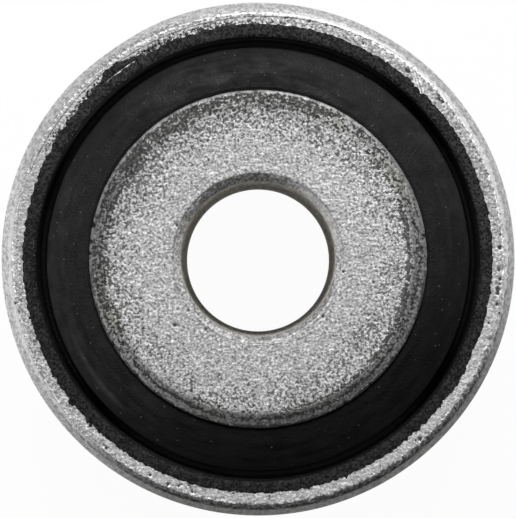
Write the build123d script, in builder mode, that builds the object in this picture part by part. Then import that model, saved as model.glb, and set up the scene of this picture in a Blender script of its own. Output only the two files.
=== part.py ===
from build123d import *

import math
import os

# Rubber metal bush: a thick steel core and a thin steel sleeve, with rubber bonded between them.
# The bore runs along Z, and the origin is in the bore, halfway between the two equal ends.
# Sizes are in millimetres and angles in degrees. A width is radial, and a height or depth is axial.

# Core
bore_diameter = 12.0
core_wall = 7.1
core_length = 50.0
bore_chamfer = 0.65
core_bevel_width = 1.05
core_bevel_height = 0.5
core_rim_break = 0.12

# Sleeve
sleeve_wall = 2.2
sleeve_length = 44.0
lead_in_width = 0.45
lead_in_height = 0.8
corner_break_width = 0.39
corner_break_height = 0.32

# Rubber
rubber_wall = 4.7
rubber_setback = 1.0
crease_width = 0.22
crease_depth = 0.5
crown_angle = 20.0
crown_radius = 9.0
groove_mouth = 0.87
groove_floor = 0.45
groove_depth = 4.5
skin_thickness = 0.47
lip_height = 0.14
lip_break = 0.18
flash_reach = 0.46
flash_edge_height = 0.04

# Each piece takes its inner radius from the piece inside it, so the three stay bonded
# when a wall changes. These walls make a core 26.2 across and a sleeve 40 across.
bore_radius = bore_diameter / 2
core_radius = bore_radius + core_wall
seat_radius = core_radius + rubber_wall
sleeve_radius = seat_radius + sleeve_wall
core_end = core_length / 2
sleeve_end = sleeve_length / 2
pick_margin = 0.01

os.makedirs("parts", exist_ok=True)


# The core is a turned tube. A bevel and a small edge break lead from its end face to its outer wall.
with BuildPart() as inner_sleeve:
    with BuildSketch(Plane.XZ) as core_section:
        with BuildLine():
            Polyline(
                (bore_radius, 0),
                (bore_radius, core_end - bore_chamfer),
                (bore_radius + bore_chamfer, core_end),
                (core_radius - core_bevel_width, core_end),
                (core_radius, core_end - core_bevel_height),
                (core_radius, 0),
            )
            mirror(about=Plane.XZ)
        make_face()
        wall_corners = core_section.vertices().filter_by_position(
            Axis.X, core_radius - pick_margin, core_radius + pick_margin
        )
        bottom_to_top = wall_corners.sort_by(Axis.Y)
        chamfer([bottom_to_top[0], bottom_to_top[-1]], length=core_rim_break)
    revolve(axis=Axis.Z)
inner_sleeve.part.label = "inner_sleeve"


# The sleeve is a plain tube. At each end a long lead-in cone guides it into its housing,
# and a flatter bevel breaks the corner between that cone and the end face.
with BuildPart() as outer_sleeve:
    lead_in_radius = sleeve_radius - lead_in_width
    with BuildSketch(Plane.XZ):
        with BuildLine():
            Polyline(
                (seat_radius, 0),
                (seat_radius, sleeve_end),
                (lead_in_radius - corner_break_width, sleeve_end),
                (lead_in_radius, sleeve_end - corner_break_height),
                (sleeve_radius, sleeve_end - corner_break_height - lead_in_height),
                (sleeve_radius, 0),
            )
            mirror(about=Plane.XZ)
        make_face()
    revolve(axis=Axis.Z)
outer_sleeve.part.label = "outer_sleeve"


# The rubber fills the space between the two tubes. Each end has a crowned ring that falls away
# from a fine crease at the core, then a deep tapered groove, and then a skin on the sleeve's bore
# that ends in a thin lip over the sleeve's face.
with BuildPart() as rubber_body:
    crown_top = core_end - rubber_setback
    crown_inner_radius = core_radius + crease_width
    groove_outer_radius = seat_radius - skin_thickness
    groove_inner_radius = groove_outer_radius - groove_mouth
    groove_draft = (groove_mouth - groove_floor) / 2
    groove_bottom = sleeve_end - groove_depth
    flash_radius = seat_radius + flash_reach
    crown_fall = (groove_inner_radius - crown_inner_radius) * math.tan(math.radians(crown_angle))
    crown_start = (crown_inner_radius, crown_top)
    crown_finish = (groove_inner_radius, crown_top - crown_fall)
    with BuildSketch(Plane.XZ) as rubber_section:
        with BuildLine():
            Polyline(
                (core_radius, 0),
                (core_radius, crown_top - crease_depth),
                crown_start,
            )
            RadiusArc(crown_start, crown_finish, crown_radius)
            Polyline(
                crown_finish,
                (groove_inner_radius + groove_draft, groove_bottom),
                (groove_outer_radius - groove_draft, groove_bottom),
                (groove_outer_radius, sleeve_end + lip_height),
                (flash_radius, sleeve_end + flash_edge_height),
                (flash_radius, sleeve_end),
                (seat_radius, sleeve_end),
                (seat_radius, 0),
            )
            mirror(about=Plane.XZ)
        make_face()
        lip_corners = rubber_section.vertices().filter_by_position(
            Axis.X, groove_outer_radius - pick_margin, groove_outer_radius + pick_margin
        )
        chamfer(lip_corners, length=lip_break)
    revolve(axis=Axis.Z)
rubber_body.part.label = "rubber_body"


for piece in (inner_sleeve, outer_sleeve, rubber_body):
    export_step(piece.part, f"parts/{piece.part.label}.step")
    print(piece.part.label, round(piece.part.volume), "mm3,", len(piece.part.faces()), "faces")
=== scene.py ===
import random
from math import atan2, cos, degrees, hypot, pi, radians, sin

import bmesh
import bpy
from mathutils import Matrix, Vector, noise


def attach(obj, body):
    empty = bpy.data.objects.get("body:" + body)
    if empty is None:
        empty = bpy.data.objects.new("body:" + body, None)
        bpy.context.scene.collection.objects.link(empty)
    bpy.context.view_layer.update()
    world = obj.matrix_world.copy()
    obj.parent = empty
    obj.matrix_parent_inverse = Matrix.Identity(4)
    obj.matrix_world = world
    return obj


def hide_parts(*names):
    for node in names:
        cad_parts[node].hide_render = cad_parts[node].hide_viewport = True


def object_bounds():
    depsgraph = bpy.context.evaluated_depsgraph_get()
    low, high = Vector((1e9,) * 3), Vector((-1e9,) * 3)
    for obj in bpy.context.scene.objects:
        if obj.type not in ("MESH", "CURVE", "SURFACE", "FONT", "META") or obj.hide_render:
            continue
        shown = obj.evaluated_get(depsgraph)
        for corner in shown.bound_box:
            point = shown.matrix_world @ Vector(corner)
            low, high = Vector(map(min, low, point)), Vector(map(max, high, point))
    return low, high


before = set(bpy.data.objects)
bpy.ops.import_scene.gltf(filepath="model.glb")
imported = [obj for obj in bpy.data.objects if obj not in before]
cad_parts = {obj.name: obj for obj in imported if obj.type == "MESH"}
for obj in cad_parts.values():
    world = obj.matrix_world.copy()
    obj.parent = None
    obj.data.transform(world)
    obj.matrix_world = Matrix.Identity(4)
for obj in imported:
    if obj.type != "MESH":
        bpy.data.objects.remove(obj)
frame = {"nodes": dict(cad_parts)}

# Rubber metal bush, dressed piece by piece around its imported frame.
# The dictionaries are in millimetres and degrees, unless a note beside a value says otherwise.
# A turn is counted from +X towards +Y, as seen from above.
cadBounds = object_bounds()
mm = 0.001
print("frame loaded:", ", ".join(frame["nodes"]))


# Camera: a long lens that looks down the bore, a little off its axis
photoView = {
    "lens": 464.5,
    "sensor": 36.0,
    "place": (0.0, -0.0014, 0.542),  # metres
    "aimHeight": 0.0225,  # metres
}


def addObject(name, content):
    item = bpy.data.objects.new(name, content)
    bpy.context.scene.collection.objects.link(item)
    return item


def aimCamera():
    lens = bpy.data.cameras.new("photoCamera")
    lens.lens = photoView["lens"]
    lens.sensor_width = photoView["sensor"]
    lens.clip_start = 0.01
    lens.clip_end = 50.0
    camera = addObject("photoCamera", lens)
    camera.location = photoView["place"]
    below = photoView["place"][2] - photoView["aimHeight"]
    camera.rotation_euler = (atan2(-photoView["place"][1], below), 0.0, 0.0)
    bpy.context.scene.camera = camera


aimCamera()
bpy.context.scene.view_settings.view_transform = "Standard"


# Node helpers
def plug(tree, socket, value):
    if isinstance(value, bpy.types.NodeSocket):
        tree.links.new(value, socket)
    else:
        socket.default_value = value


def mathStep(tree, operation, *values, clamp=False):
    step = tree.nodes.new("ShaderNodeMath")
    step.operation = operation
    step.use_clamp = clamp
    for socket, value in zip(step.inputs, values):
        plug(tree, socket, value)
    return step.outputs[0]


def times(tree, first, second, clamp=False):
    return mathStep(tree, "MULTIPLY", first, second, clamp=clamp)


def plus(tree, first, second):
    return mathStep(tree, "ADD", first, second)


def minus(tree, first, second):
    return mathStep(tree, "SUBTRACT", first, second)


def larger(tree, first, second):
    return mathStep(tree, "MAXIMUM", first, second)


def scaled(tree, value, factor, offset, clamp=False):
    return mathStep(tree, "MULTIPLY_ADD", value, factor, offset, clamp=clamp)


# A noise, moved to lie evenly about zero
def centred(tree, field, amount):
    return scaled(tree, field, amount, -0.5 * amount)


def spread(tree, value, low, high, start=0.0, end=1.0):
    step = tree.nodes.new("ShaderNodeMapRange")
    step.interpolation_type = "SMOOTHSTEP"
    names = ("Value", "From Min", "From Max", "To Min", "To Max")
    for name, item in zip(names, (value, low, high, start, end)):
        plug(tree, step.inputs[name], item)
    return step.outputs["Result"]


def mixColour(tree, mask, under, over, way="MIX"):
    step = tree.nodes.new("ShaderNodeMix")
    step.data_type = "RGBA"
    step.blend_type = way
    plug(tree, step.inputs[0], mask)
    plug(tree, step.inputs[6], under)
    plug(tree, step.inputs[7], over)
    return step.outputs[2]


def mixValue(tree, mask, under, over):
    step = tree.nodes.new("ShaderNodeMix")
    step.data_type = "FLOAT"
    plug(tree, step.inputs[0], mask)
    plug(tree, step.inputs[2], under)
    plug(tree, step.inputs[3], over)
    return step.outputs[0]


def grey(level):
    return (level, level, level, 1.0)


def greyRamp(tree, value, stops):
    step = tree.nodes.new("ShaderNodeValToRGB")
    plug(tree, step.inputs["Fac"], value)
    elements = step.color_ramp.elements
    while len(elements) < len(stops):
        elements.new(0.5)
    for element, (position, level) in zip(elements, stops):
        element.position = position
        element.color = grey(level)
    return step.outputs["Color"]


def noiseOn(tree, place, size, detail=2.0, rough=0.5, distort=0.0):
    step = tree.nodes.new("ShaderNodeTexNoise")
    plug(tree, step.inputs["Vector"], place)
    scale = mathStep(tree, "DIVIDE", 1000.0, size) if isinstance(size, bpy.types.NodeSocket) else 1000.0 / size
    plug(tree, step.inputs["Scale"], scale)
    plug(tree, step.inputs["Detail"], detail)
    plug(tree, step.inputs["Roughness"], rough)
    plug(tree, step.inputs["Distortion"], distort)
    return step.outputs["Fac"]


def newGroup(name, inputs, outputs):
    tree = bpy.data.node_groups.new(name, "ShaderNodeTree")
    for socketName in inputs:
        kind = "NodeSocketVector" if socketName == "Place" else "NodeSocketFloat"
        tree.interface.new_socket(socketName, in_out="INPUT", socket_type=kind)
    for socketName in outputs:
        tree.interface.new_socket(socketName, in_out="OUTPUT", socket_type="NodeSocketFloat")
    inlet = tree.nodes.new("NodeGroupInput")
    outlet = tree.nodes.new("NodeGroupOutput")
    return tree, inlet.outputs, outlet.inputs


def useGroup(tree, group, values):
    step = tree.nodes.new("ShaderNodeGroup")
    step.node_tree = group
    for name, value in values.items():
        plug(tree, step.inputs[name], value)
    return step.outputs


# Radius in mm, turn in degrees and distance from mid-length in mm, measured about the bore
def buildBorePolar():
    tree, given, made = newGroup("borePolar", ["Place"], ["Radius", "Turn", "Height"])
    parts = tree.nodes.new("ShaderNodeSeparateXYZ")
    plug(tree, parts.inputs[0], given["Place"])
    x, y, z = parts.outputs
    across = plus(tree, times(tree, x, x), times(tree, y, y))
    plug(tree, made["Radius"], times(tree, mathStep(tree, "SQRT", across), 1000.0))
    angle = times(tree, mathStep(tree, "ARCTAN2", y, x), degrees(1))
    plug(tree, made["Turn"], mathStep(tree, "WRAP", angle, 360.0, 0.0))
    plug(tree, made["Height"], times(tree, z, 1000.0))
    return tree


# A soft-edged band between two radii, over an arc of the ring
def buildArcMask():
    names = ["Radius", "Turn", "Inner", "Outer", "Blur", "Middle", "Reach", "Fade"]
    tree, given, made = newGroup("arcMask", names, ["Mask"])
    innerLow = minus(tree, given["Inner"], given["Blur"])
    innerHigh = plus(tree, given["Inner"], given["Blur"])
    outerLow = minus(tree, given["Outer"], given["Blur"])
    outerHigh = plus(tree, given["Outer"], given["Blur"])
    inside = spread(tree, given["Radius"], innerLow, innerHigh)
    outside = spread(tree, given["Radius"], outerLow, outerHigh, 1.0, 0.0)
    off = minus(tree, given["Turn"], given["Middle"])
    off = mathStep(tree, "ABSOLUTE", mathStep(tree, "WRAP", off, 180.0, -180.0))
    fadeEnd = plus(tree, given["Reach"], given["Fade"])
    arc = spread(tree, off, given["Reach"], fadeEnd, 1.0, 0.0)
    band = times(tree, inside, outside)
    plug(tree, made["Mask"], times(tree, band, arc))
    return tree


# Shot-blast texture: a grain from pit to peak, and the relief that goes with it
def buildBlastGrain():
    tree, given, made = newGroup("blastGrain", ["Place", "Size"], ["Grain", "Relief"])
    fine = noiseOn(tree, given["Place"], given["Size"], detail=2.5, rough=0.58, distort=0.1)
    coarseSize = times(tree, given["Size"], 2.3)
    coarse = noiseOn(tree, given["Place"], coarseSize, detail=1.0)
    both = plus(tree, times(tree, fine, 0.8), times(tree, coarse, 0.2))
    plug(tree, made["Grain"], spread(tree, both, 0.31, 0.69))
    plug(tree, made["Relief"], both)
    return tree


# Specks that gather in the low spots of Relief; their number follows Cover, from none to a closed film
def buildSpecks():
    tree, given, made = newGroup("residueSpecks", ["Place", "Size", "Cover", "Edge", "Relief"], ["Mask"])
    own = noiseOn(tree, given["Place"], given["Size"], detail=2.0, rough=0.6)
    own = scaled(tree, own, 0.72, 0.48)
    field = scaled(tree, given["Relief"], -0.68, own)
    limit = scaled(tree, given["Cover"], -0.52, 0.76)
    low = minus(tree, limit, given["Edge"])
    high = plus(tree, limit, given["Edge"])
    plug(tree, made["Mask"], spread(tree, field, low, high))
    return tree


# Single pale grains of dust, thinly spread
def buildDust():
    tree, given, made = newGroup("paleDust", ["Place", "Size", "Share"], ["Mask"])
    cells = tree.nodes.new("ShaderNodeTexVoronoi")
    plug(tree, cells.inputs["Vector"], given["Place"])
    plug(tree, cells.inputs["Scale"], mathStep(tree, "DIVIDE", 1000.0, given["Size"]))
    dot = spread(tree, cells.outputs["Distance"], 0.12, 0.34, 1.0, 0.0)
    parts = tree.nodes.new("ShaderNodeSeparateColor")
    plug(tree, parts.inputs[0], cells.outputs["Color"])
    chosen = mathStep(tree, "LESS_THAN", parts.outputs[0], given["Share"])
    strength = scaled(tree, parts.outputs[1], 0.8, 0.2)
    plug(tree, made["Mask"], times(tree, times(tree, dot, chosen), strength))
    return tree


# Smears drawn out round the bore, by Stretch
def buildSmears():
    tree, given, made = newGroup("roundSmears", ["Radius", "Turn", "Stretch", "Size"], ["Mask"])
    angle = times(tree, given["Turn"], radians(1))
    stretch = times(tree, given["Stretch"], mm)
    drawn = tree.nodes.new("ShaderNodeCombineXYZ")
    plug(tree, drawn.inputs[0], times(tree, given["Radius"], mm))
    plug(tree, drawn.inputs[1], times(tree, mathStep(tree, "SINE", angle), stretch))
    plug(tree, drawn.inputs[2], times(tree, mathStep(tree, "COSINE", angle), stretch))
    plug(tree, made["Mask"], noiseOn(tree, drawn.outputs[0], given["Size"], detail=3.0, rough=0.6))
    return tree


borePolar = buildBorePolar()
arcMask = buildArcMask()
blastGrain = buildBlastGrain()
residueSpecks = buildSpecks()
paleDust = buildDust()
roundSmears = buildSmears()
print("shared textures built")


def newMaterial(name):
    material = bpy.data.materials.new(name)
    material.use_nodes = True
    tree = material.node_tree
    shader = tree.nodes["Principled BSDF"]
    place = tree.nodes.new("ShaderNodeTexCoord").outputs["Object"]
    return material, tree, shader, place


def ringMask(tree, polar, inner, outer, blur, middle=0.0, reach=200.0, fade=1.0, radius=None):
    values = {"Radius": radius or polar["Radius"], "Turn": polar["Turn"], "Inner": inner, "Outer": outer}
    values.update({"Blur": blur, "Middle": middle, "Reach": reach, "Fade": fade})
    return useGroup(tree, arcMask, values)["Mask"]


# A mask for each of a piece's bands, by the radius given for it or else by the true one
def ringMasks(tree, polar, bands, **radii):
    return {name: ringMask(tree, polar, *band, radius=radii.get(name)) for name, band in bands.items()}


def smearMask(tree, polar, stretch, size):
    values = {"Radius": polar["Radius"], "Turn": polar["Turn"], "Stretch": stretch, "Size": size}
    return useGroup(tree, roundSmears, values)["Mask"]


def speckMask(tree, place, grain, size, cover, edge):
    values = {"Place": place, "Size": size, "Cover": cover, "Edge": edge, "Relief": grain["Relief"]}
    return useGroup(tree, residueSpecks, values)["Mask"]


def readLayer(tree, name):
    step = tree.nodes.new("ShaderNodeAttribute")
    step.attribute_name = name
    return step.outputs["Fac"]


def bumpFrom(tree, shader, height, depth):
    step = tree.nodes.new("ShaderNodeBump")
    step.inputs["Strength"].default_value = 1.0
    plug(tree, step.inputs["Distance"], depth * mm)
    plug(tree, step.inputs["Height"], height)
    plug(tree, shader.inputs["Normal"], step.outputs["Normal"])


# Mesh helpers. A corner of a section is its radius, its height, its rounding
# and the number of cuts between it and the next corner.
def halfSection(bm, corners):
    points = [bm.verts.new((corner[0] * mm, 0.0, corner[1] * mm)) for corner in corners]
    runs = []
    for start, end, corner in zip(points, points[1:], corners):
        bm.edges.new((start, end))
        runs.append(((start.co + end.co) / 2, corner[3]))
    for point, corner in zip(points, corners):
        if corner[2]:
            bmesh.ops.bevel(
                bm, geom=[point], offset=corner[2] * mm, offset_type="OFFSET",
                affect="VERTICES", segments=3, profile=0.5, material=-1,
            )
    for middle, cuts in runs:
        if cuts:
            run = min(bm.edges, key=lambda edge: ((edge.verts[0].co + edge.verts[1].co) / 2 - middle).length)
            bmesh.ops.subdivide_edges(bm, edges=[run], cuts=cuts)


def fullTurn(bm, steps):
    still = Matrix.Identity(4)
    bmesh.ops.mirror(bm, geom=bm.verts[:] + bm.edges[:], matrix=still, merge_dist=1e-7, axis="Z")
    bmesh.ops.spin(
        bm, geom=bm.verts[:] + bm.edges[:], cent=(0, 0, 0), axis=(0, 0, 1), dvec=(0, 0, 0),
        angle=pi / 4, space=still, steps=steps // 8, use_merge=False, use_duplicate=False,
    )
    for turn in (pi / 4, pi / 2, pi):  # an eighth becomes a quarter, a half and the whole
        copy = bmesh.ops.duplicate(bm, geom=bm.verts[:] + bm.edges[:] + bm.faces[:])["geom"]
        moved = [item for item in copy if isinstance(item, bmesh.types.BMVert)]
        bmesh.ops.rotate(bm, verts=moved, cent=(0, 0, 0), matrix=Matrix.Rotation(turn, 3, "Z"))
    bmesh.ops.remove_doubles(bm, verts=bm.verts[:], dist=1e-6)
    bmesh.ops.recalc_face_normals(bm, faces=bm.faces[:])


def finishPiece(bm, name, material, node=None):
    for face in bm.faces:
        face.smooth = True
    mesh = bpy.data.meshes.new(name)
    bm.to_mesh(mesh)
    bm.free()
    mesh.materials.append(material)
    piece = addObject(name, mesh)
    if node:
        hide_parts(node)
    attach(piece, "root")
    print(name, "made with", len(mesh.polygons), "faces")


def waver(co, size, seed):
    return noise.noise(co / (size * mm) + Vector((seed, 0.7 * seed, -1.3 * seed)))


def hump(value, middle, reach):
    off = (value - middle) / reach
    return max(0.0, 1.0 - off * off) ** 2


def turnOf(co):
    return degrees(atan2(co.y, co.x)) % 360.0


def turnGap(turn, middle):
    return (turn - middle + 180.0) % 360.0 - 180.0


def arcHump(turn, middle, reach):
    return hump(turnGap(turn, middle), 0.0, reach)


def arcSum(turn, arcs, total=0.0):
    for middle, reach, amount in arcs:
        total += amount * arcHump(turn, middle, reach)
    return total


def movePoint(co, radius, drop, outward):
    co.z -= (1.0 if co.z > 0 else -1.0) * drop * mm
    scale = 1.0 + outward / radius
    co.x *= scale
    co.y *= scale


def polarPoint(radius, turn, height):
    return Vector((radius * cos(radians(turn)), radius * sin(radians(turn)), height)) * mm


# Core: a blasted steel tube, with rubber and dirt left round its rim
coreSteel = {
    "steps": 640,
    "boreRadius": 6.0,
    "wallRadius": 13.1,
    "end": 25.0,
    "chamfer": 0.6,
    "bevelWidth": 1.05,
    "bevelHeight": 0.5,
    "grain": 0.21,
    "faceRelief": 0.007,
    "rimWear": 0.035,
    "seed": 3.0,
    # Noise: size, detail and roughness
    "cloud": (4.0, 2.0),
    "patch": (1.1, 2.0, 0.6),
    "clot": (0.5, 2.0, 0.55),
    "smears": (1.1, 0.26),  # stretch and size
    # Greys from pit to peak
    "faceGreys": [(0.0, 0.2), (0.28, 0.4), (0.53, 0.515), (0.78, 0.68), (1.0, 0.96)],
    "mouthGreys": [(0.0, 0.26), (0.3, 0.54), (0.55, 0.72), (0.8, 0.9), (1.0, 1.0)],
    # Bands: inner and outer radius and blur, then the arc's middle, reach and fade
    "bands": {
        "back": (0.0, 14.0, 0.1, 118.0, 35.0, 45.0),
        "frontBevel": (11.9, 13.6, 0.2, 270.0, 55.0, 30.0),
        "rim": (12.89, 13.4, 0.05, 92.0, 82.0, 30.0),
        "brightRim": (12.0, 14.0, 0.1, 62.0, 12.0, 20.0),
        "mouth": (5.9, 6.56, 0.06),
        "litMouth": (5.9, 6.56, 0.06, 98.0, 100.0, 50.0),
        "brightRight": (5.9, 6.6, 0.06, 36.0, 16.0, 24.0),
        "frontRightMouthShade": (5.9, 6.36, 0.06, 300.0, 30.0, 18.0),
        "outerMouth": (6.54, 6.72, 0.05, 276.0, 42.0, 26.0),
        "mouthDirt": (4.9, 6.5, 0.06, 110.0, 26.0, 34.0),
        "frontLeftMouthShade": (6.57, 6.78, 0.08, 238.0, 36.0, 32.0),
        "wallFront": (0.0, 6.1, 0.05, 266.0, 50.0, 35.0),
    },
}

# Nicks in the upper rim: turn, half width in degrees and depth
rimNicks = [
    (168.4, 1.3, 0.14), (174.0, 0.9, 0.12), (178.2, 0.7, 0.07), (210.8, 0.6, 0.10),
    (224.0, 0.7, 0.05), (301.2, 0.6, 0.08), (311.6, 0.5, 0.07), (8.0, 1.0, 0.05),
]

# Pits in the upper face: radius, turn, size and depth
corePits = [
    (6.62, 351.5, 0.17, 0.05), (6.70, 318.4, 0.18, 0.06), (6.79, 157.4, 0.20, 0.06), (8.21, 218.5, 0.22, 0.07),
    (6.68, 216.6, 0.17, 0.05), (6.76, 233.5, 0.16, 0.05), (10.38, 211.2, 0.20, 0.06),
]

# Arcs where the film is denser or thinner: inner and outer radius, middle, reach, fade and amount
filmArcs = [
    (12.32, 12.55, 285.0, 52.0, 22.0, 0.24), (11.80, 11.96, 312.0, 30.0, 16.0, 0.20),
    (11.55, 11.80, 358.0, 14.0, 12.0, 0.26), (12.40, 12.60, 2.0, 16.0, 12.0, 0.12),
    (9.60, 10.40, 325.0, 20.0, 12.0, 0.10), (12.05, 12.28, 0.0, 16.0, 10.0, -0.08),
    (11.20, 11.95, 242.0, 28.0, 20.0, -0.08), (11.95, 12.28, 275.0, 45.0, 20.0, -0.20),
    (12.65, 12.90, 278.0, 60.0, 30.0, -0.23), (12.97, 13.30, 268.0, 70.0, 30.0, 0.60),
    (12.10, 12.95, 208.0, 12.0, 14.0, 0.10), (11.75, 12.30, 333.0, 10.0, 12.0, 0.09),
    (8.30, 10.20, 136.0, 16.0, 18.0, 0.09), (11.70, 12.30, 316.0, 12.0, 12.0, 0.06),
    (12.60, 12.95, 266.0, 20.0, 14.0, -0.10),
    (11.30, 12.30, 82.0, 22.0, 18.0, -0.06), (12.05, 12.90, 0.0, 20.0, 14.0, -0.05),
    (11.50, 11.95, 20.0, 16.0, 14.0, 0.10), (11.45, 11.95, 165.0, 18.0, 14.0, 0.10),
    (11.45, 11.75, 325.0, 14.0, 12.0, 0.10), (12.05, 12.85, 102.0, 42.0, 26.0, 0.09),
]


def shapeCore():
    core = coreSteel
    bm = bmesh.new()
    faceStart = core["boreRadius"] + core["chamfer"]
    bevelStart = core["wallRadius"] - core["bevelWidth"]
    halfSection(bm, [
        (core["boreRadius"], 0.0, 0, 3),
        (core["boreRadius"], core["end"] - core["chamfer"], 0.1, 3),
        (faceStart, core["end"], 0.09, 38),
        (bevelStart, core["end"], 0.12, 7),
        (core["wallRadius"], core["end"] - core["bevelHeight"], 0.09, 3),
        (core["wallRadius"], 23.4, 0, 2),
        (core["wallRadius"], 0.0, 0, 0),
    ])
    fullTurn(bm, core["steps"])
    nicked = bm.verts.layers.float.new("nicked")
    seed = core["seed"]
    pits = [(polarPoint(pit[0], pit[1], core["end"]), pit[2] * mm, pit[3]) for pit in corePits]
    for vert in bm.verts:
        co = vert.co
        height = abs(co.z) / mm
        if height < core["end"] - 1.0:
            continue
        radius = hypot(co.x, co.y) / mm
        turn = turnOf(co)
        place = co.copy()
        onFace = min(1.0, max(0.0, (radius - faceStart + 0.3) / 0.3))
        onFace *= min(1.0, max(0.0, (height - 24.3) / 0.2))
        drop = core["faceRelief"] * (waver(place, 0.42, seed) + 0.6 * waver(place, 0.9, seed + 5))
        drop += 0.014 * hump(radius, bevelStart, 0.45) * waver(place, 1.6, seed + 9)
        wearAndHighlight = max(0.0, waver(place, 0.8, seed + 2) + 0.1)
        inward = core["rimWear"] * hump(radius, core["wallRadius"], 0.25) * wearAndHighlight
        if co.z > 0:
            atRim = hump(radius, core["wallRadius"], 0.34)
            for middle, reach, depth in rimNicks:
                notch = atRim * arcHump(turn, middle, reach)
                inward += depth * notch
                drop += 1.3 * depth * notch
                vert[nicked] = max(vert[nicked], min(1.0, 2.2 * notch))
            for centre, size, depth in pits:
                well = hump((place - centre).length / size, 0.0, 1.0)
                drop += depth * well
                vert[nicked] = max(vert[nicked], min(1.0, 1.4 * well))
        mouth = hump(radius, faceStart, 0.3) * max(0.0, waver(place, 0.9, seed + 15))
        drop += 0.025 * mouth
        movePoint(co, radius, onFace * drop, -inward)
    return bm


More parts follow.
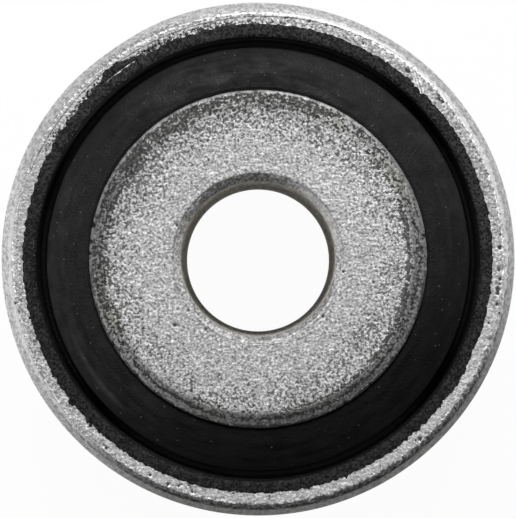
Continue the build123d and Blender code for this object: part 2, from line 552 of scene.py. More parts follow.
def paintCore():
    material, tree, shader, place = newMaterial("blastedCoreSteel")
    polar = useGroup(tree, borePolar, {"Place": place})
    grain = useGroup(tree, blastGrain, {"Place": place, "Size": coreSteel["grain"]})
    cloud, patch, clot = (noiseOn(tree, place, *coreSteel[name]) for name in ("cloud", "patch", "clot"))
    height = mathStep(tree, "ABSOLUTE", polar["Height"])

    # Wavering radii, so that no border in the dirt is a true circle
    sway = plus(tree, centred(tree, patch, 0.4), centred(tree, clot, 0.3))
    loose = plus(tree, polar["Radius"], sway)
    uneven = plus(tree, polar["Radius"], centred(tree, clot, 0.5))
    frayed = plus(tree, polar["Radius"], centred(tree, clot, 1.3))
    masks = ringMasks(tree, polar, coreSteel["bands"], rim=uneven, mouthDirt=frayed)

    steel = greyRamp(tree, grain["Grain"], coreSteel["faceGreys"])
    backShare = masks["back"]
    steel = mixColour(tree, backShare, steel, grey(0.93), way="MULTIPLY")

    # The shoulder is tarnished, more so at the back and less on the bevel at the front
    shoulder = spread(tree, loose, 11.45, 12.0)
    level = mixValue(tree, backShare, 0.46, 0.82)
    level = times(tree, level, scaled(tree, masks["frontBevel"], -0.75, 1.0))
    tarnishAndShade = times(tree, shoulder, level)
    early = times(tree, backShare, spread(tree, loose, 10.6, 11.7, 0.0, 0.3))
    tarnishAndShade = larger(tree, tarnishAndShade, early)
    tarnishAndShade = times(tree, tarnishAndShade, spread(tree, clot, 0.3, 0.62, 1.15, 0.75), clamp=True)
    tarnished = mixColour(tree, 1.0, steel, (0.1, 0.1, 0.097, 1.0), way="MULTIPLY")
    colour = mixColour(tree, tarnishAndShade, steel, tarnished)
    olive = times(tree, shoulder, spread(tree, cloud, 0.52, 0.64))
    colour = mixColour(tree, olive, colour, (1.01, 1.0, 0.95, 1.0), way="MULTIPLY")

    # Film of rubber and dirt: thin on the face, denser on the shoulder, in smears that run round it
    smears = smearMask(tree, polar, *coreSteel["smears"])
    cover = spread(tree, polar["Radius"], 6.6, 11.2, 0.0, 0.44)
    onShoulder = spread(tree, loose, 11.3, 12.2, 0.0, 0.005)
    atBack = times(tree, backShare, spread(tree, polar["Radius"], 9.5, 11.0, 0.0, 0.07))
    smeared = times(tree, spread(tree, polar["Radius"], 11.2, 11.8), centred(tree, smears, 0.7))
    for share in (onShoulder, atBack, smeared):
        cover = plus(tree, cover, share)
    for inner, outer, middle, reach, fade, amount in filmArcs:
        arc = ringMask(tree, polar, inner, outer, 0.07, middle, reach, fade, radius=loose)
        cover = scaled(tree, arc, amount, cover)
    for field, amount in ((clot, 0.45), (patch, 0.4), (cloud, 0.25)):
        cover = plus(tree, cover, centred(tree, field, amount))
    edge = spread(tree, loose, 11.0, 12.1, 0.085, 0.05)
    specks = speckMask(tree, place, grain, 0.26, cover, edge)
    filmColour = mixColour(tree, grain["Grain"], grey(0.016), (0.07, 0.07, 0.067, 1.0))
    specks = times(tree, specks, spread(tree, loose, 10.8, 12.1, 0.64, 0.9))
    colour = mixColour(tree, specks, colour, filmColour)

    # The rim is painted bright in a thin broken line, a painted highlight, most of all at the back
    rim = times(tree, masks["rim"], spread(tree, height, 24.3, 24.42))
    rim = times(tree, rim, spread(tree, clot, 0.36, 0.6, 0.25, 0.95))
    colour = mixColour(tree, rim, colour, mixColour(tree, masks["brightRim"], grey(0.28), grey(0.42)))
    nicked = readLayer(tree, "nicked")
    colour = mixColour(tree, nicked, colour, grey(0.015))

    # Mouth of the bore: painted lighter at the back, a painted light, and dull and ragged with dirt there; a little
    # greyer at the front
    mouth = masks["mouth"]
    mouthSteel = greyRamp(tree, grain["Grain"], coreSteel["mouthGreys"])
    colour = mixColour(tree, scaled(tree, masks["litMouth"], 0.45, times(tree, mouth, 0.5)), colour, mouthSteel)
    # Painted highlight at the right; painted shade at the front right and on the outer edge at the front
    for name, level, way in (
        ("brightRight", 0.38, "SCREEN"), ("frontRightMouthShade", 0.66, "MULTIPLY"), ("outerMouth", 0.48, "MULTIPLY"),
    ):
        colour = mixColour(tree, masks[name], colour, grey(level), way=way)
    mouthDirt = times(tree, masks["mouthDirt"], spread(tree, grain["Grain"], 0.25, 0.75, 0.92, 0.5))
    colour = mixColour(tree, mouthDirt, colour, (0.22, 0.221, 0.224, 1.0))
    # Painted shade on the outer edge of the mouth at the front left
    frontLeftMouthShade = times(tree, masks["frontLeftMouthShade"], spread(tree, clot, 0.35, 0.6, 0.15, 0.4))
    colour = mixColour(tree, frontLeftMouthShade, colour, grey(0.15))

    # The wall is grey and streaked along its length, and painted darker at the front, a painted shade against the
    # key light that falls there
    wall = spread(tree, polar["Radius"], 6.01, 6.06, 1.0, 0.0)
    parts = tree.nodes.new("ShaderNodeSeparateXYZ")
    plug(tree, parts.inputs[0], place)
    along = tree.nodes.new("ShaderNodeCombineXYZ")
    plug(tree, along.inputs[0], parts.outputs[0])
    plug(tree, along.inputs[1], parts.outputs[1])
    plug(tree, along.inputs[2], times(tree, parts.outputs[2], 0.04))
    streak = noiseOn(tree, along.outputs[0], 0.3, detail=2.0, rough=0.6)
    streaked = spread(tree, streak, 0.3, 0.7)
    wallColour = mixColour(tree, streaked, (0.66, 0.64, 0.6, 1.0), (1.0, 0.99, 0.95, 1.0))
    wallColour = mixColour(tree, masks["wallFront"], wallColour, grey(0.8), way="MULTIPLY")
    colour = mixColour(tree, wall, colour, wallColour)

    dull = larger(tree, specks, times(tree, tarnishAndShade, 0.3))
    dull = larger(tree, dull, nicked)
    plug(tree, shader.inputs["Base Color"], colour)
    plug(tree, shader.inputs["Metallic"], scaled(tree, dull, -0.3, 1.0, clamp=True))
    plain = scaled(tree, rim, -0.1, scaled(tree, mouth, 0.25, 0.5))
    plug(tree, shader.inputs["Roughness"], mixValue(tree, dull, plain, 0.7))
    relief = minus(tree, grain["Relief"], times(tree, specks, 0.1))
    bumpFrom(tree, shader, relief, 0.033)
    return material


finishPiece(shapeCore(), "steelCore", paintCore(), node="inner_sleeve")


# Sleeve: a thin steel tube, blasted on its end face and smooth outside
sleeveSteel = {
    "steps": 1200,
    "seatRadius": 17.8,
    "wallRadius": 20.0,
    "end": 22.0,
    "ridgeInner": 19.16,
    "ridgeOuter": 19.55,
    "ridgeDrop": 0.32,
    "leadInEnd": 20.88,
    "grain": 0.21,
    "faceRelief": 0.006,
    "seed": 21.0,
    # Noise: size, detail and roughness
    "patch": (1.0, 2.0, 0.6),
    "cloud": (5.0, 3.0),
    "tooth": (0.4, 1.0),
    "barb": (0.2, 1.0),
    "scuff": (0.3, 3.0, 0.65),
    "broken": (0.16, 1.0),
    # Greys from pit to peak
    "faceGreys": [(0.0, 0.15), (0.28, 0.36), (0.55, 0.47), (0.8, 0.63), (1.0, 0.93)],
    "scuffGreys": [(0.33, 0.58), (0.67, 1.38)],
    # Bands: inner and outer radius and blur, then the arc's middle, reach and fade
    "bands": {
        "frontFace": (17.0, 20.0, 0.1, 288.0, 42.0, 45.0),
        "rightFace": (17.0, 20.0, 0.1, 54.0, 28.0, 30.0),
        "calmFace": (17.0, 20.0, 0.1, 142.0, 20.0, 24.0),
        "tarnishAndShade": (19.3, 21.0, 0.08, 290.0, 36.0, 42.0),
        "leftHighlight": (19.3, 21.0, 0.08, 182.0, 14.0, 20.0),
        "ridge": (19.08, 19.44, 0.035, 105.0, 118.0, 16.0),
        "subdued": (19.0, 20.0, 0.05, 124.0, 32.0, 26.0),
        "ridgeGrime": (19.0, 19.5, 0.06, 120.0, 8.0, 14.0),
        "under": (19.08, 19.36, 0.04, 278.0, 38.0, 16.0),
        "turnedLine": (19.575, 19.665, 0.025, 108.0, 46.0, 10.0),
        "stray": (18.1, 18.6, 0.15, 118.0, 22.0, 22.0),
        "back": (18.2, 19.05, 0.2, 115.0, 30.0, 40.0),
    },
}

# Pits in the upper end face: radius, turn, size and depth
facePits = [
    (18.86, 2.6, 0.20, 0.10), (18.95, 5.7, 0.14, 0.08), (18.92, 36.4, 0.11, 0.04), (18.86, 40.4, 0.17, 0.05),
    (18.78, 41.4, 0.16, 0.05), (18.95, 42.0, 0.11, 0.04), (18.90, 48.6, 0.15, 0.05), (18.70, 51.3, 0.18, 0.06),
    (18.76, 52.0, 0.12, 0.04), (18.67, 64.0, 0.13, 0.06), (18.95, 66.4, 0.11, 0.04), (18.90, 73.8, 0.13, 0.06),
    (18.90, 77.8, 0.14, 0.07), (18.90, 83.3, 0.13, 0.06), (19.20, 190.3, 0.16, 0.08), (18.82, 230.4, 0.12, 0.07),
    (18.85, 231.3, 0.16, 0.09), (18.80, 243.5, 0.15, 0.09), (18.86, 248.3, 0.18, 0.10), (18.70, 250.7, 0.14, 0.08),
    (18.55, 251.2, 0.10, 0.06), (18.80, 255.0, 0.12, 0.07), (18.83, 254.3, 0.14, 0.09), (18.70, 254.0, 0.13, 0.09),
    (18.56, 253.5, 0.12, 0.08), (18.43, 253.0, 0.12, 0.07), (19.20, 294.4, 0.17, 0.08), (18.83, 312.0, 0.21, 0.12),
    (18.70, 310.9, 0.11, 0.06), (18.60, 344.5, 0.12, 0.07), (19.20, 347.4, 0.15, 0.08), (18.93, 349.3, 0.17, 0.09),
    (18.83, 351.8, 0.18, 0.10), (18.82, 352.9, 0.21, 0.11), (18.90, 354.0, 0.13, 0.08), (18.90, 355.2, 0.16, 0.09),
    (18.75, 357.4, 0.17, 0.09),
]

# A gouge that runs across the face into the lip, from one polar point to another
faceNick = {"start": (19.18, 50.9), "end": (18.08, 45.6), "width": 0.15, "depth": 0.11, "burr": 0.05}

# Beside the flash, the lip has drawn back from a thin line of bright metal
bareLine = {"radius": 18.12, "start": 120.5, "end": 133.0, "width": 0.05}


def distanceToRun(co, start, end):
    run = end - start
    along = max(0.0, min(1.0, (co - start).dot(run) / run.length_squared))
    return (co - (start + run * along)).length


def shapeSleeve():
    sleeve = sleeveSteel
    bm = bmesh.new()
    ridgeHeight = sleeve["end"] - sleeve["ridgeDrop"]
    halfSection(bm, [
        (sleeve["seatRadius"], 0.0, 0, 0),
        (sleeve["seatRadius"], sleeve["end"], 0, 15),
        (sleeve["ridgeInner"], sleeve["end"], 0.07, 3),
        (sleeve["ridgeOuter"], ridgeHeight, 0.07, 5),
        (sleeve["wallRadius"], sleeve["leadInEnd"], 0.12, 2),
        (sleeve["wallRadius"], 0.0, 0, 0),
    ])
    fullTurn(bm, sleeve["steps"])
    bare = bm.verts.layers.float.new("bare")
    dirty = bm.verts.layers.float.new("dirty")
    seed = sleeve["seed"]
    nickStart = polarPoint(*faceNick["start"], 0.0)
    nickEnd = polarPoint(*faceNick["end"], 0.0)
    pits = [(polarPoint(pit[0], pit[1], 0.0), pit[2] * mm, pit[3]) for pit in facePits]
    for vert in bm.verts:
        co = vert.co
        height = abs(co.z) / mm
        if height < sleeve["leadInEnd"] - 0.3:
            continue
        radius = hypot(co.x, co.y) / mm
        turn = turnOf(co)
        upper = co.z > 0
        place = co.copy()
        onFace = hump(min(radius, 19.0), 19.0, 0.9) * min(1.0, max(0.0, (height - ridgeHeight) / 0.2 + 0.3))
        drop = sleeve["faceRelief"] * (waver(place, 0.4, seed) + 0.7 * waver(place, 0.8, seed + 4)) * onFace
        ragged = hump(radius, sleeve["ridgeInner"] + 0.1, 0.3)
        rough = 0.045 + (0.04 * arcHump(turn, 122.0, 40.0) if upper else 0.0)
        drop += rough * ragged * (waver(place, 0.28, seed + 7) + 0.6 * waver(place, 1.5, seed + 8))
        inward = 0.012 * waver(place, 2.5, seed + 11) * min(1.0, (height - 20.5) / 1.0)
        if upper:
            flat = Vector((place.x, place.y, 0.0))
            away = distanceToRun(flat, nickStart, nickEnd)
            away = abs(away / mm + 0.09 * waver(place, 0.22, seed + 23))
            cut = hump(away, 0.0, faceNick["width"])
            heap = hump(away, faceNick["width"] * 1.25, faceNick["width"] * 0.7)
            drop += faceNick["depth"] * cut - faceNick["burr"] * heap
            bead = 0.75 + 0.6 * waver(place, 0.28, seed + 17)
            vert[bare] = min(1.0, 1.5 * max(cut, heap) * bead)
            if bareLine["start"] < turn < bareLine["end"]:
                lineRadius = bareLine["radius"] + 0.04 * waver(place, 0.9, seed + 19)
                shine = hump(radius, lineRadius, bareLine["width"] * 1.4) * bead
                vert[bare] = max(vert[bare], min(0.15, shine))
            for centre, size, depth in pits:
                gap = (flat - centre).length
                if gap < size:
                    well = hump(gap / size, 0.0, 1.0)
                    drop += depth * well
                    vert[dirty] = max(vert[dirty], min(1.0, 2.4 * well))
            serrated = hump(radius, sleeve["ridgeInner"] + 0.04, 0.3) * arcHump(turn, 300.0, 95.0)
            inward += 0.26 * serrated * waver(place, 0.26, seed + 27)
            inward += 0.09 * arcHump(turn, 125.0, 14.0) * hump(min(radius, 20.0), 20.0, 0.7)
            burr = arcHump(turn, 228.0, 0.9) * hump(radius, 19.75, 0.4)
            inward -= 0.10 * burr * (0.6 + waver(place, 0.3, seed + 14))
        movePoint(co, radius, drop, -inward)
    return bm


def paintSleeve():
    material, tree, shader, place = newMaterial("sleeveSteel")
    polar = useGroup(tree, borePolar, {"Place": place})
    grain = useGroup(tree, blastGrain, {"Place": place, "Size": sleeveSteel["grain"]})
    names = ("patch", "cloud", "tooth", "barb", "scuff", "broken")
    patch, cloud, tooth, barb, scuff, broken = (noiseOn(tree, place, *sleeveSteel[name]) for name in names)
    height = mathStep(tree, "ABSOLUTE", polar["Height"])

    # The turned line's own centre lies a little off the bore's
    offCentre = tree.nodes.new("ShaderNodeMapping")
    offCentre.inputs["Location"].default_value = (-0.000403, 0.000735, 0.0)
    plug(tree, offCentre.inputs["Vector"], place)
    turned = useGroup(tree, borePolar, {"Place": offCentre.outputs["Vector"]})["Radius"]

    # The blasted face ends in a ragged border on the ridge
    sway = scaled(tree, tooth, 0.6, scaled(tree, barb, 0.7, -0.65))
    loose = plus(tree, polar["Radius"], sway)
    torn = plus(tree, polar["Radius"], centred(tree, tooth, 0.5))
    radii = {"ridge": torn, "ridgeGrime": torn, "under": loose, "turnedLine": turned}
    masks = ringMasks(tree, polar, sleeveSteel["bands"], **radii)
    atEnd = spread(tree, height, 21.5, 21.65)
    face = times(tree, spread(tree, loose, 19.2, 19.3, 1.0, 0.0), atEnd)
    blasted = greyRamp(tree, grain["Grain"], sleeveSteel["faceGreys"])
    frontFace = masks["frontFace"]
    # Painted light: the face is painted lighter at the front, where the key light falls off
    blasted = mixColour(tree, times(tree, frontFace, 0.26), blasted, grey(0.95))
    blasted = mixColour(tree, masks["rightFace"], blasted, grey(0.9), way="MULTIPLY")
    blasted = mixColour(tree, times(tree, masks["calmFace"], 0.5), blasted, grey(0.43))
    smooth = mixColour(tree, cloud, grey(0.52), grey(0.62))

    # The lead-in is painted dark at the front, a painted shade, and painted lighter at the left, a painted
    # highlight; scuffs lie all over
    smooth = mixColour(tree, times(tree, masks["tarnishAndShade"], 0.85), smooth, (0.176, 0.175, 0.171, 1.0))
    smooth = mixColour(tree, times(tree, masks["leftHighlight"], 0.4), smooth, grey(0.95))
    scuffs = greyRamp(tree, scuff, sleeveSteel["scuffGreys"])
    smooth = mixColour(tree, 1.0, smooth, scuffs, way="MULTIPLY")
    colour = mixColour(tree, face, smooth, blasted)

    # The ridge is painted bright, as wear and as a painted highlight, apart from the front, and less at the back.
    # A dark line of painted shade lies under it at the front.
    wearAndHighlight = times(tree, times(tree, masks["ridge"], atEnd), spread(tree, patch, 0.28, 0.5, 0.6, 1.0))
    wearAndHighlight = times(tree, wearAndHighlight, scaled(tree, masks["subdued"], -0.95, 1.0))
    colour = mixColour(tree, wearAndHighlight, colour, grey(0.96))
    ridgeGrime = times(tree, masks["ridgeGrime"], spread(tree, barb, 0.42, 0.58, 0.0, 0.7))
    colour = mixColour(tree, ridgeGrime, colour, grey(0.16))
    colour = mixColour(tree, times(tree, masks["under"], 0.5), colour, (0.08, 0.08, 0.078, 1.0))

    # A turned line crosses the face at the back
    turnedLine = times(tree, masks["turnedLine"], spread(tree, patch, 0.3, 0.5, 0.35, 0.85))
    turnedLine = times(tree, turnedLine, spread(tree, polar["Height"], 21.8, 21.9))
    colour = mixColour(tree, turnedLine, colour, grey(0.10))

    # Black in the deepest grain, stray rubber by the lip at the back, and dirt in the pits
    cover = scaled(tree, patch, 0.7, -0.36)
    cover = plus(tree, cover, times(tree, masks["stray"], 0.36))
    cover = plus(tree, cover, times(tree, masks["back"], 0.2))
    cover = scaled(tree, frontFace, 0.16, cover)
    cover = times(tree, cover, face)
    specks = speckMask(tree, place, grain, 0.2, cover, 0.05)
    dirty = readLayer(tree, "dirty")
    pitted = spread(tree, scaled(tree, broken, 1.8, minus(tree, dirty, 0.9)), 0.36, 0.6)
    pitted = times(tree, pitted, spread(tree, dirty, 0.02, 0.2))
    dull = larger(tree, times(tree, specks, face), pitted)
    colour = mixColour(tree, times(tree, dull, 0.92), colour, (0.02, 0.021, 0.021, 1.0))
    colour = mixColour(tree, readLayer(tree, "bare"), colour, grey(0.9))

    plug(tree, shader.inputs["Base Color"], colour)
    plug(tree, shader.inputs["Metallic"], scaled(tree, dull, -0.85, 1.0, clamp=True))
    plain = mixValue(tree, face, 0.42, 0.5)
    plug(tree, shader.inputs["Roughness"], mixValue(tree, dull, plain, 0.75))
    relief = times(tree, grain["Relief"], mixValue(tree, face, 0.3, 1.0))
    bumpFrom(tree, shader, relief, 0.036)
    return material


finishPiece(shapeSleeve(), "steelSleeve", paintSleeve(), node="outer_sleeve")


# Rubber: crowned ends, a crease at the core, a deep groove, and a skin with a lip over the sleeve
rubberBody = {
    "steps": 1040,
    "coreRadius": 13.1,
    "seatRadius": 17.8,
    "creaseBottom": 23.7,
    "crownStart": (13.27, 24.01),
    "crownFinish": (16.46, 22.857),
    "crownRise": 0.157,
    "crownSteps": 9,
    "grooveFloor": (16.66, 17.03, 17.5),
    "lipInner": 17.17,
    "lipTop": 22.14,
    "lipOuter": 18.26,
    "sleeveEnd": 22.0,
    "seed": 47.0,
    # Arcs of the lip: middle, reach and amount
    "raggedArcs": [(135.0, 45.0, 0.13), (222.0, 30.0, 0.07), (312.0, 60.0, 0.10), (127.0, 9.0, -0.13)],
    "innerShrink": [(138.0, 45.0, 0.16), (330.0, 120.0, -0.07)],
    "outerShift": [(78.0, 40.0, 0.07), (180.0, 28.0, 0.05), (290.0, 75.0, -0.045)],
    # Noise: size, detail and roughness
    "cloud": (3.0, 3.0, 0.55),
    "smudge": (0.9, 3.0, 0.6),
    "grit": (0.2, 2.0, 0.6),
    "smears": (2.6, 0.48),  # stretch and size
    # Bands: inner and outer radius and blur, then the arc's middle, reach and fade
    "bands": {
        "right": (13.0, 16.6, 0.1, 32.0, 20.0, 36.0),
        "left": (13.0, 16.6, 0.1, 196.0, 24.0, 40.0),
        "leftEdgeSheen": (15.0, 16.5, 0.4, 190.0, 26.0, 26.0),
        "rightEdgeSheen": (15.0, 16.5, 0.4, 45.0, 14.0, 26.0),
        "streak": (15.42, 15.70, 0.1, 214.0, 8.0, 9.0),
        "grooveBack": (16.5, 17.2, 0.06, 102.0, 38.0, 24.0),
        "grooveFront": (16.5, 17.2, 0.06, 274.0, 30.0, 24.0),
        "groove": (16.5, 17.2, 0.03),
        "grooveRim": (17.04, 17.3, 0.03),
        "creaseBack": (13.0, 13.26, 0.03, 92.0, 20.0, 60.0),
        "crease": (13.0, 13.26, 0.03),
        "lipFront": (17.2, 18.6, 0.05, 250.0, 75.0, 50.0),
    },
}


def crownPoint(share):
    rubber = rubberBody
    start = Vector(rubber["crownStart"])
    finish = Vector(rubber["crownFinish"])
    run = finish - start
    across = Vector((-run.y, run.x)).normalized()
    return start + run * share + across * rubber["crownRise"] * 4 * share * (1 - share)


def shapeRubber():
    rubber = rubberBody
    bm = bmesh.new()
    crown = [crownPoint(step / rubber["crownSteps"]) for step in range(1, rubber["crownSteps"])]
    floorInner, floorOuter, floorHeight = rubber["grooveFloor"]
    halfSection(bm, [
        (rubber["coreRadius"], 0.0, 0, 0),
        (rubber["coreRadius"], rubber["creaseBottom"], 0, 1),
        (*rubber["crownStart"], 0.09, 0),
        *[(point.x, point.y, 0, 0) for point in crown],
        (*rubber["crownFinish"], 0.2, 1),
        (floorInner, floorHeight, 0.12, 0),
        (floorOuter, floorHeight, 0.12, 1),
        (rubber["lipInner"], rubber["lipTop"], 0.42, 4),
        (rubber["lipOuter"], rubber["sleeveEnd"] + 0.05, 0.02, 0),
        (rubber["lipOuter"], rubber["sleeveEnd"], 0, 1),
        (rubber["seatRadius"], rubber["sleeveEnd"], 0, 0),
        (rubber["seatRadius"], 0.0, 0, 0),
    ])
    fullTurn(bm, rubber["steps"])
    seed = rubber["seed"]
    lineMiddle = (bareLine["start"] + bareLine["end"]) / 2
    lineReach = (bareLine["end"] - bareLine["start"]) / 2
    outerShift = rubber["outerShift"] + [
        (faceNick["end"][1], 0.75, -0.24),
        (lineMiddle, lineReach * 1.5, -0.165),
    ]
    for vert in bm.verts:
        co = vert.co
        height = abs(co.z) / mm
        radius = hypot(co.x, co.y) / mm
        if height < 17.0 or radius < 13.15:
            continue
        turn = turnOf(co)
        side = 1.0 if co.z > 0 else -1.0
        place = co.copy()
        flat = Vector((place.x, place.y, side * 0.01))
        drop, outward = 0.0, 0.0
        if radius < 16.9:
            drop = 0.012 * waver(place, 2.2, seed) + 0.005 * waver(place, 0.6, seed + 2)
            outward = 0.02 * hump(radius, 16.46, 0.3) * waver(flat, 2.0, seed + 3)
            if side > 0:  # the groove's inner edge stands in, most of all at the left of the back
                shrunk = 0.035 + 0.10 * arcHump(turn, 150.0, 40.0)
                outward -= shrunk * hump(radius, 16.5, 0.7)
        elif height > 21.0:
            onLip = hump(min(height, 22.0), 22.0, 1.0)
            drop = (0.010 * waver(place, 0.5, seed + 5) + 0.008 * waver(place, 1.4, seed + 6)) * onLip
            edge = min(1.0, max(0.0, (radius - 17.85) / 0.3))
            tooth = 0.9 * waver(flat, 0.45, seed + 8) + 0.9 * waver(flat, 0.24, seed + 9)
            swell = waver(flat, 3.0, seed + 10)
            busy = arcSum(turn, rubber["raggedArcs"], 0.10)
            outward = edge * (busy * tooth + 0.03 * swell)
            if side > 0:  # the lip runs a little off centre
                outward -= arcSum(turn, rubber["innerShrink"]) * hump(radius, 17.2, 0.5)
                for middle, reach, amount in outerShift:
                    outward += edge * amount * arcHump(turn, middle, reach)
        movePoint(co, radius, drop, outward)
    return bm


def paintRubber():
    material, tree, shader, place = newMaterial("mouldedRubber")
    polar = useGroup(tree, borePolar, {"Place": place})
    cloud, smudge, grit = (noiseOn(tree, place, *rubberBody[name]) for name in ("cloud", "smudge", "grit"))
    grit = spread(tree, grit, 0.34, 0.7)
    lip = spread(tree, polar["Radius"], 17.2, 17.35)
    masks = ringMasks(tree, polar, rubberBody["bands"])

    # Smears run round the crown
    smear = spread(tree, smearMask(tree, polar, *rubberBody["smears"]), 0.32, 0.7)

    # Painted sheen: the crown is painted lighter at the right and the left, more so towards its edge, and darker
    # elsewhere
    sideSheen = times(tree, masks["right"], 0.0055)
    for name, amount in (("left", 0.006), ("leftEdgeSheen", 0.0038), ("rightEdgeSheen", 0.0038)):
        sideSheen = scaled(tree, masks[name], amount, sideSheen)
    uneven = times(tree, scaled(tree, smudge, 1.6, 0.2), scaled(tree, smear, 0.9, 0.55))
    level = times(tree, plus(tree, sideSheen, 0.0022), uneven)
    level = plus(tree, level, times(tree, times(tree, masks["streak"], smudge), 0.03))
    colour = mixColour(tree, level, grey(0.0), grey(1.0))

    # The groove is painted lighter where no light falls along it, a painted light, and dusted thinly all round and
    # more at its outer rim; dust lies in the crease
    groove = larger(tree, masks["grooveBack"], masks["grooveFront"])
    for name, amount in (("groove", 0.045), ("grooveRim", 0.2)):
        groove = larger(tree, groove, times(tree, masks[name], amount))
    height = mathStep(tree, "ABSOLUTE", polar["Height"])
    groove = times(tree, groove, spread(tree, height, 20.8, 22.2, 1.0, 0.1))
    colour = mixColour(tree, groove, colour, grey(0.16))
    crease = scaled(tree, masks["creaseBack"], 0.8, masks["crease"])
    colour = mixColour(tree, times(tree, crease, smudge), colour, grey(0.06))

    # The lip is dusty; at the front it is painted darker, a painted shade
    dusty = mixColour(tree, grit, grey(0.001), grey(0.042))
    dusty = mixColour(tree, masks["lipFront"], dusty, mixColour(tree, grit, grey(0.0), grey(0.03)))
    dusty = mixColour(tree, 1.0, dusty, mixColour(tree, smudge, grey(0.3), grey(1.8)), way="MULTIPLY")
    colour = mixColour(tree, lip, colour, dusty)
    crownDust = useGroup(tree, paleDust, {"Place": place, "Size": 0.26, "Share": 0.06})["Mask"]
    lipDust = useGroup(tree, paleDust, {"Place": place, "Size": 0.19, "Share": 0.16})["Mask"]
    dust = larger(tree, crownDust, times(tree, lipDust, lip))
    colour = mixColour(tree, times(tree, dust, 0.55), colour, grey(0.15))
    plug(tree, shader.inputs["Base Color"], colour)
    rough = plus(tree, scaled(tree, cloud, 0.45, 0.28), times(tree, smear, 0.24))
    rough = plus(tree, rough, scaled(tree, smudge, -0.3, 0.15))
    plug(tree, shader.inputs["Roughness"], mixValue(tree, lip, rough, 0.72))
    shader.inputs["Specular IOR Level"].default_value = 0.2
    relief = times(tree, grit, mixValue(tree, lip, 0.45, 1.0))
    relief = plus(tree, relief, times(tree, dust, 0.3))
    bumpFrom(tree, shader, relief, 0.035)
    return material


rubberFinish = paintRubber()
finishPiece(shapeRubber(), "rubberRing", rubberFinish, node="rubber_body")


# Flash: a torn film of rubber on the sleeve's face, and crumbs beside the lip
flashFilm = {
    "inner": 18.17,
    "outline": [  # turn and outer radius
        (119.6, 18.36), (122.0, 18.47), (124.0, 18.68), (125.4, 18.84), (127.0, 18.90),
        (129.6, 18.89), (130.4, 18.66), (132.0, 18.46), (133.6, 18.38),
    ],
    "steps": 170,
    "thickness": 0.09,
    "seed": 61.0,
}

# Crumbs: radius, turn and size
rubberCrumbs = {
    "placed": [
        (18.42, 134.6, 0.13), (18.55, 135.6, 0.11), (18.38, 136.2, 0.12), (18.48, 137.4, 0.08), (18.60, 133.2, 0.09),
        (18.72, 131.6, 0.08), (18.36, 147.6, 0.10), (18.33, 143.9, 0.09), (18.36, 217.2, 0.17), (18.32, 218.1, 0.14),
        (18.34, 224.7, 0.18), (18.30, 223.6, 0.13), (18.30, 209.8, 0.12), (18.33, 194.4, 0.11), (18.42, 104.2, 0.09),
        (18.55, 105.4, 0.07), (18.38, 107.8, 0.10), (18.48, 109.0, 0.08), (18.36, 112.2, 0.12), (18.50, 114.6, 0.11),
        (18.40, 115.7, 0.10), (18.34, 117.6, 0.12), (18.46, 118.6, 0.10), (18.33, 56.6, 0.08), (18.30, 11.4, 0.09),
        (18.33, 292.0, 0.08), (18.32, 331.0, 0.09), (18.30, 264.0, 0.08),
    ],
    "strewn": 34,
    "strewnFrom": 100.0,
    "strewnTo": 152.0,
    "seed": 5,
}


def outlineAt(turn):
    outline = flashFilm["outline"]
    for (low, lowRadius), (high, highRadius) in zip(outline, outline[1:]):
        if low <= turn <= high:
            return lowRadius + (highRadius - lowRadius) * (turn - low) / (high - low)
    return outline[0][1]


def shapeFlash():
    flash = flashFilm
    base = sleeveSteel["end"]
    top = base + flash["thickness"]
    inner, outer = flash["inner"], flash["inner"] + 1.0
    start, finish = flash["outline"][0][0], flash["outline"][-1][0]
    bm = bmesh.new()
    section = [
        (inner, base - 0.02), (outer, base - 0.02), (outer - 0.03, base + 0.03), (outer - 0.12, top - 0.01),
        (inner + 0.66, top), (inner + 0.4, top + 0.01), (inner + 0.15, top), (inner + 0.03, base + 0.03),
    ]
    corners = [bm.verts.new(polarPoint(radius, start, height)) for radius, height in section]
    bm.faces.new(corners)
    bmesh.ops.spin(
        bm, geom=bm.verts[:] + bm.edges[:] + bm.faces[:], cent=(0, 0, 0), axis=(0, 0, 1), dvec=(0, 0, 0),
        angle=radians(finish - start), space=Matrix.Identity(4), steps=flash["steps"],
        use_merge=False, use_duplicate=False,
    )
    bmesh.ops.recalc_face_normals(bm, faces=bm.faces[:])
    seed = flash["seed"]
    for vert in bm.verts:
        co = vert.co
        radius, turn, height = hypot(co.x, co.y) / mm, turnOf(co), co.z / mm
        share = (radius - inner) / (outer - inner)
        flat = Vector((co.x, co.y, 0.0))
        tear = 0.09 * waver(flat, 0.34, seed) + 0.07 * waver(flat, 0.16, seed + 3)
        reach = outlineAt(turn) + tear - inner
        newRadius = inner + 0.03 * waver(flat, 0.5, seed + 5) + share * max(0.02, reach)
        lift = max(0.0, height - base)
        swell = 0.8 + 0.7 * waver(flat, 0.35, seed + 7)
        height = min(base, height) + lift * swell * min(1.0, max(0.15, reach / 0.25))
        vert.co = polarPoint(newRadius, turn, height)
    return bm


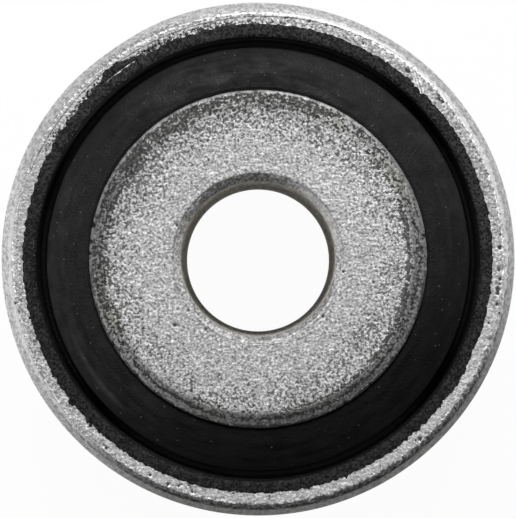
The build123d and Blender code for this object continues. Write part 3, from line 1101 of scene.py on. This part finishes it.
def shapeCrumbs():
    crumbs = rubberCrumbs
    pick = random.Random(crumbs["seed"])
    spots = list(crumbs["placed"])
    for strewn in range(crumbs["strewn"]):
        turn = pick.uniform(crumbs["strewnFrom"], crumbs["strewnTo"])
        spots.append((18.28 + 0.5 * pick.random() ** 2, turn, pick.uniform(0.045, 0.09)))
    bm = bmesh.new()
    for number, (radius, turn, size) in enumerate(spots):
        crumb = bmesh.ops.create_icosphere(bm, subdivisions=2, radius=size * mm)["verts"]
        bmesh.ops.scale(bm, vec=(pick.uniform(0.8, 1.4), pick.uniform(0.7, 1.1), 0.55), verts=crumb)
        bmesh.ops.rotate(bm, cent=(0, 0, 0), matrix=Matrix.Rotation(pick.uniform(0, pi), 3, "Z"), verts=crumb)
        for vert in crumb:
            vert.co *= 1.0 + 0.45 * waver(vert.co, size * 0.9, number * 3.1)
        sunk = sleeveSteel["end"] + size * 0.12
        bmesh.ops.translate(bm, vec=polarPoint(radius, turn, sunk), verts=crumb)
    return bm


finishPiece(shapeFlash(), "rubberFlash", rubberFinish)
finishPiece(shapeCrumbs(), "rubberCrumbs", rubberFinish)


# Floor, sky and key light
studio = {
    "floorSize": 4.0,  # metres
    "floorGap": 0.02,  # room for the blasted relief of the lower end
    "keyTurn": 95.0,
    "keyRise": 55.0,
    "keyReach": 0.42,  # metres
    "keySize": 0.25,  # metres
    "keyShare": 0.88,
    "darkTurn": 285.0,
    "skyDark": 0.02,
    "skyZenith": 0.2,
    "skyHorizon": 1.1,
}


def layFloor():
    bm = bmesh.new()
    bmesh.ops.create_circle(bm, cap_ends=True, cap_tris=False, segments=96, radius=studio["floorSize"])
    bmesh.ops.translate(bm, verts=bm.verts[:], vec=(0, 0, cadBounds[0][2] - studio["floorGap"] * mm))
    mesh = bpy.data.meshes.new("paleFloor")
    bm.to_mesh(mesh)
    bm.free()
    floor = addObject("paleFloor", mesh)
    material = bpy.data.materials.new("paleFloor")
    material.use_nodes = True
    tree = material.node_tree
    shader = tree.nodes["Principled BSDF"]
    shader.inputs["Base Color"].default_value = grey(0.88)
    shader.inputs["Roughness"].default_value = 0.9
    shader.inputs["Specular IOR Level"].default_value = 0.0
    glow = tree.nodes.new("ShaderNodeEmission")
    glow.inputs["Color"].default_value = grey(1.0)
    path = tree.nodes.new("ShaderNodeLightPath")
    seen = larger(tree, path.outputs["Is Camera Ray"], path.outputs["Is Transmission Ray"])
    share = times(tree, seen, 0.965)
    mirrored = times(tree, path.outputs["Is Glossy Ray"], 0.15)
    blend = tree.nodes.new("ShaderNodeMixShader")
    plug(tree, blend.inputs[0], larger(tree, share, mirrored))
    plug(tree, blend.inputs[1], shader.outputs[0])
    plug(tree, blend.inputs[2], glow.outputs[0])
    plug(tree, tree.nodes["Material Output"].inputs["Surface"], blend.outputs[0])
    mesh.materials.append(material)


def hangLights():
    reach, size = studio["keyReach"], studio["keySize"]
    lamp = bpy.data.lights.new("softKey", "AREA")
    lamp.shape = "DISK"
    lamp.size = size
    lamp.energy = studio["keyShare"] * pi * pi * reach * reach
    key = addObject("softKey", lamp)
    turn, rise = radians(studio["keyTurn"]), radians(studio["keyRise"])
    away = Vector((cos(turn) * cos(rise), sin(turn) * cos(rise), sin(rise)))
    key.location = away * reach
    key.rotation_euler = away.to_track_quat("Z", "Y").to_euler()

    world = bpy.data.worlds.new("studioSky")
    bpy.context.scene.world = world
    world.use_nodes = True
    tree = world.node_tree
    parts = tree.nodes.new("ShaderNodeSeparateXYZ")
    plug(tree, parts.inputs[0], tree.nodes.new("ShaderNodeTexCoord").outputs["Generated"])
    high = mathStep(tree, "ABSOLUTE", parts.outputs[2])
    bright = spread(tree, high, 0.0, 0.75, studio["skyHorizon"], studio["skyZenith"])
    darkTurn = radians(studio["darkTurn"])
    towards = times(tree, parts.outputs[0], cos(darkTurn))
    towards = scaled(tree, parts.outputs[1], sin(darkTurn), towards)
    level = mixValue(tree, spread(tree, towards, 0.1, 0.75), bright, studio["skyDark"])
    sky = tree.nodes["Background"]
    sky.inputs["Color"].default_value = grey(1.0)
    plug(tree, sky.inputs["Strength"], level)


layFloor()
hangLights()
print("studio set")
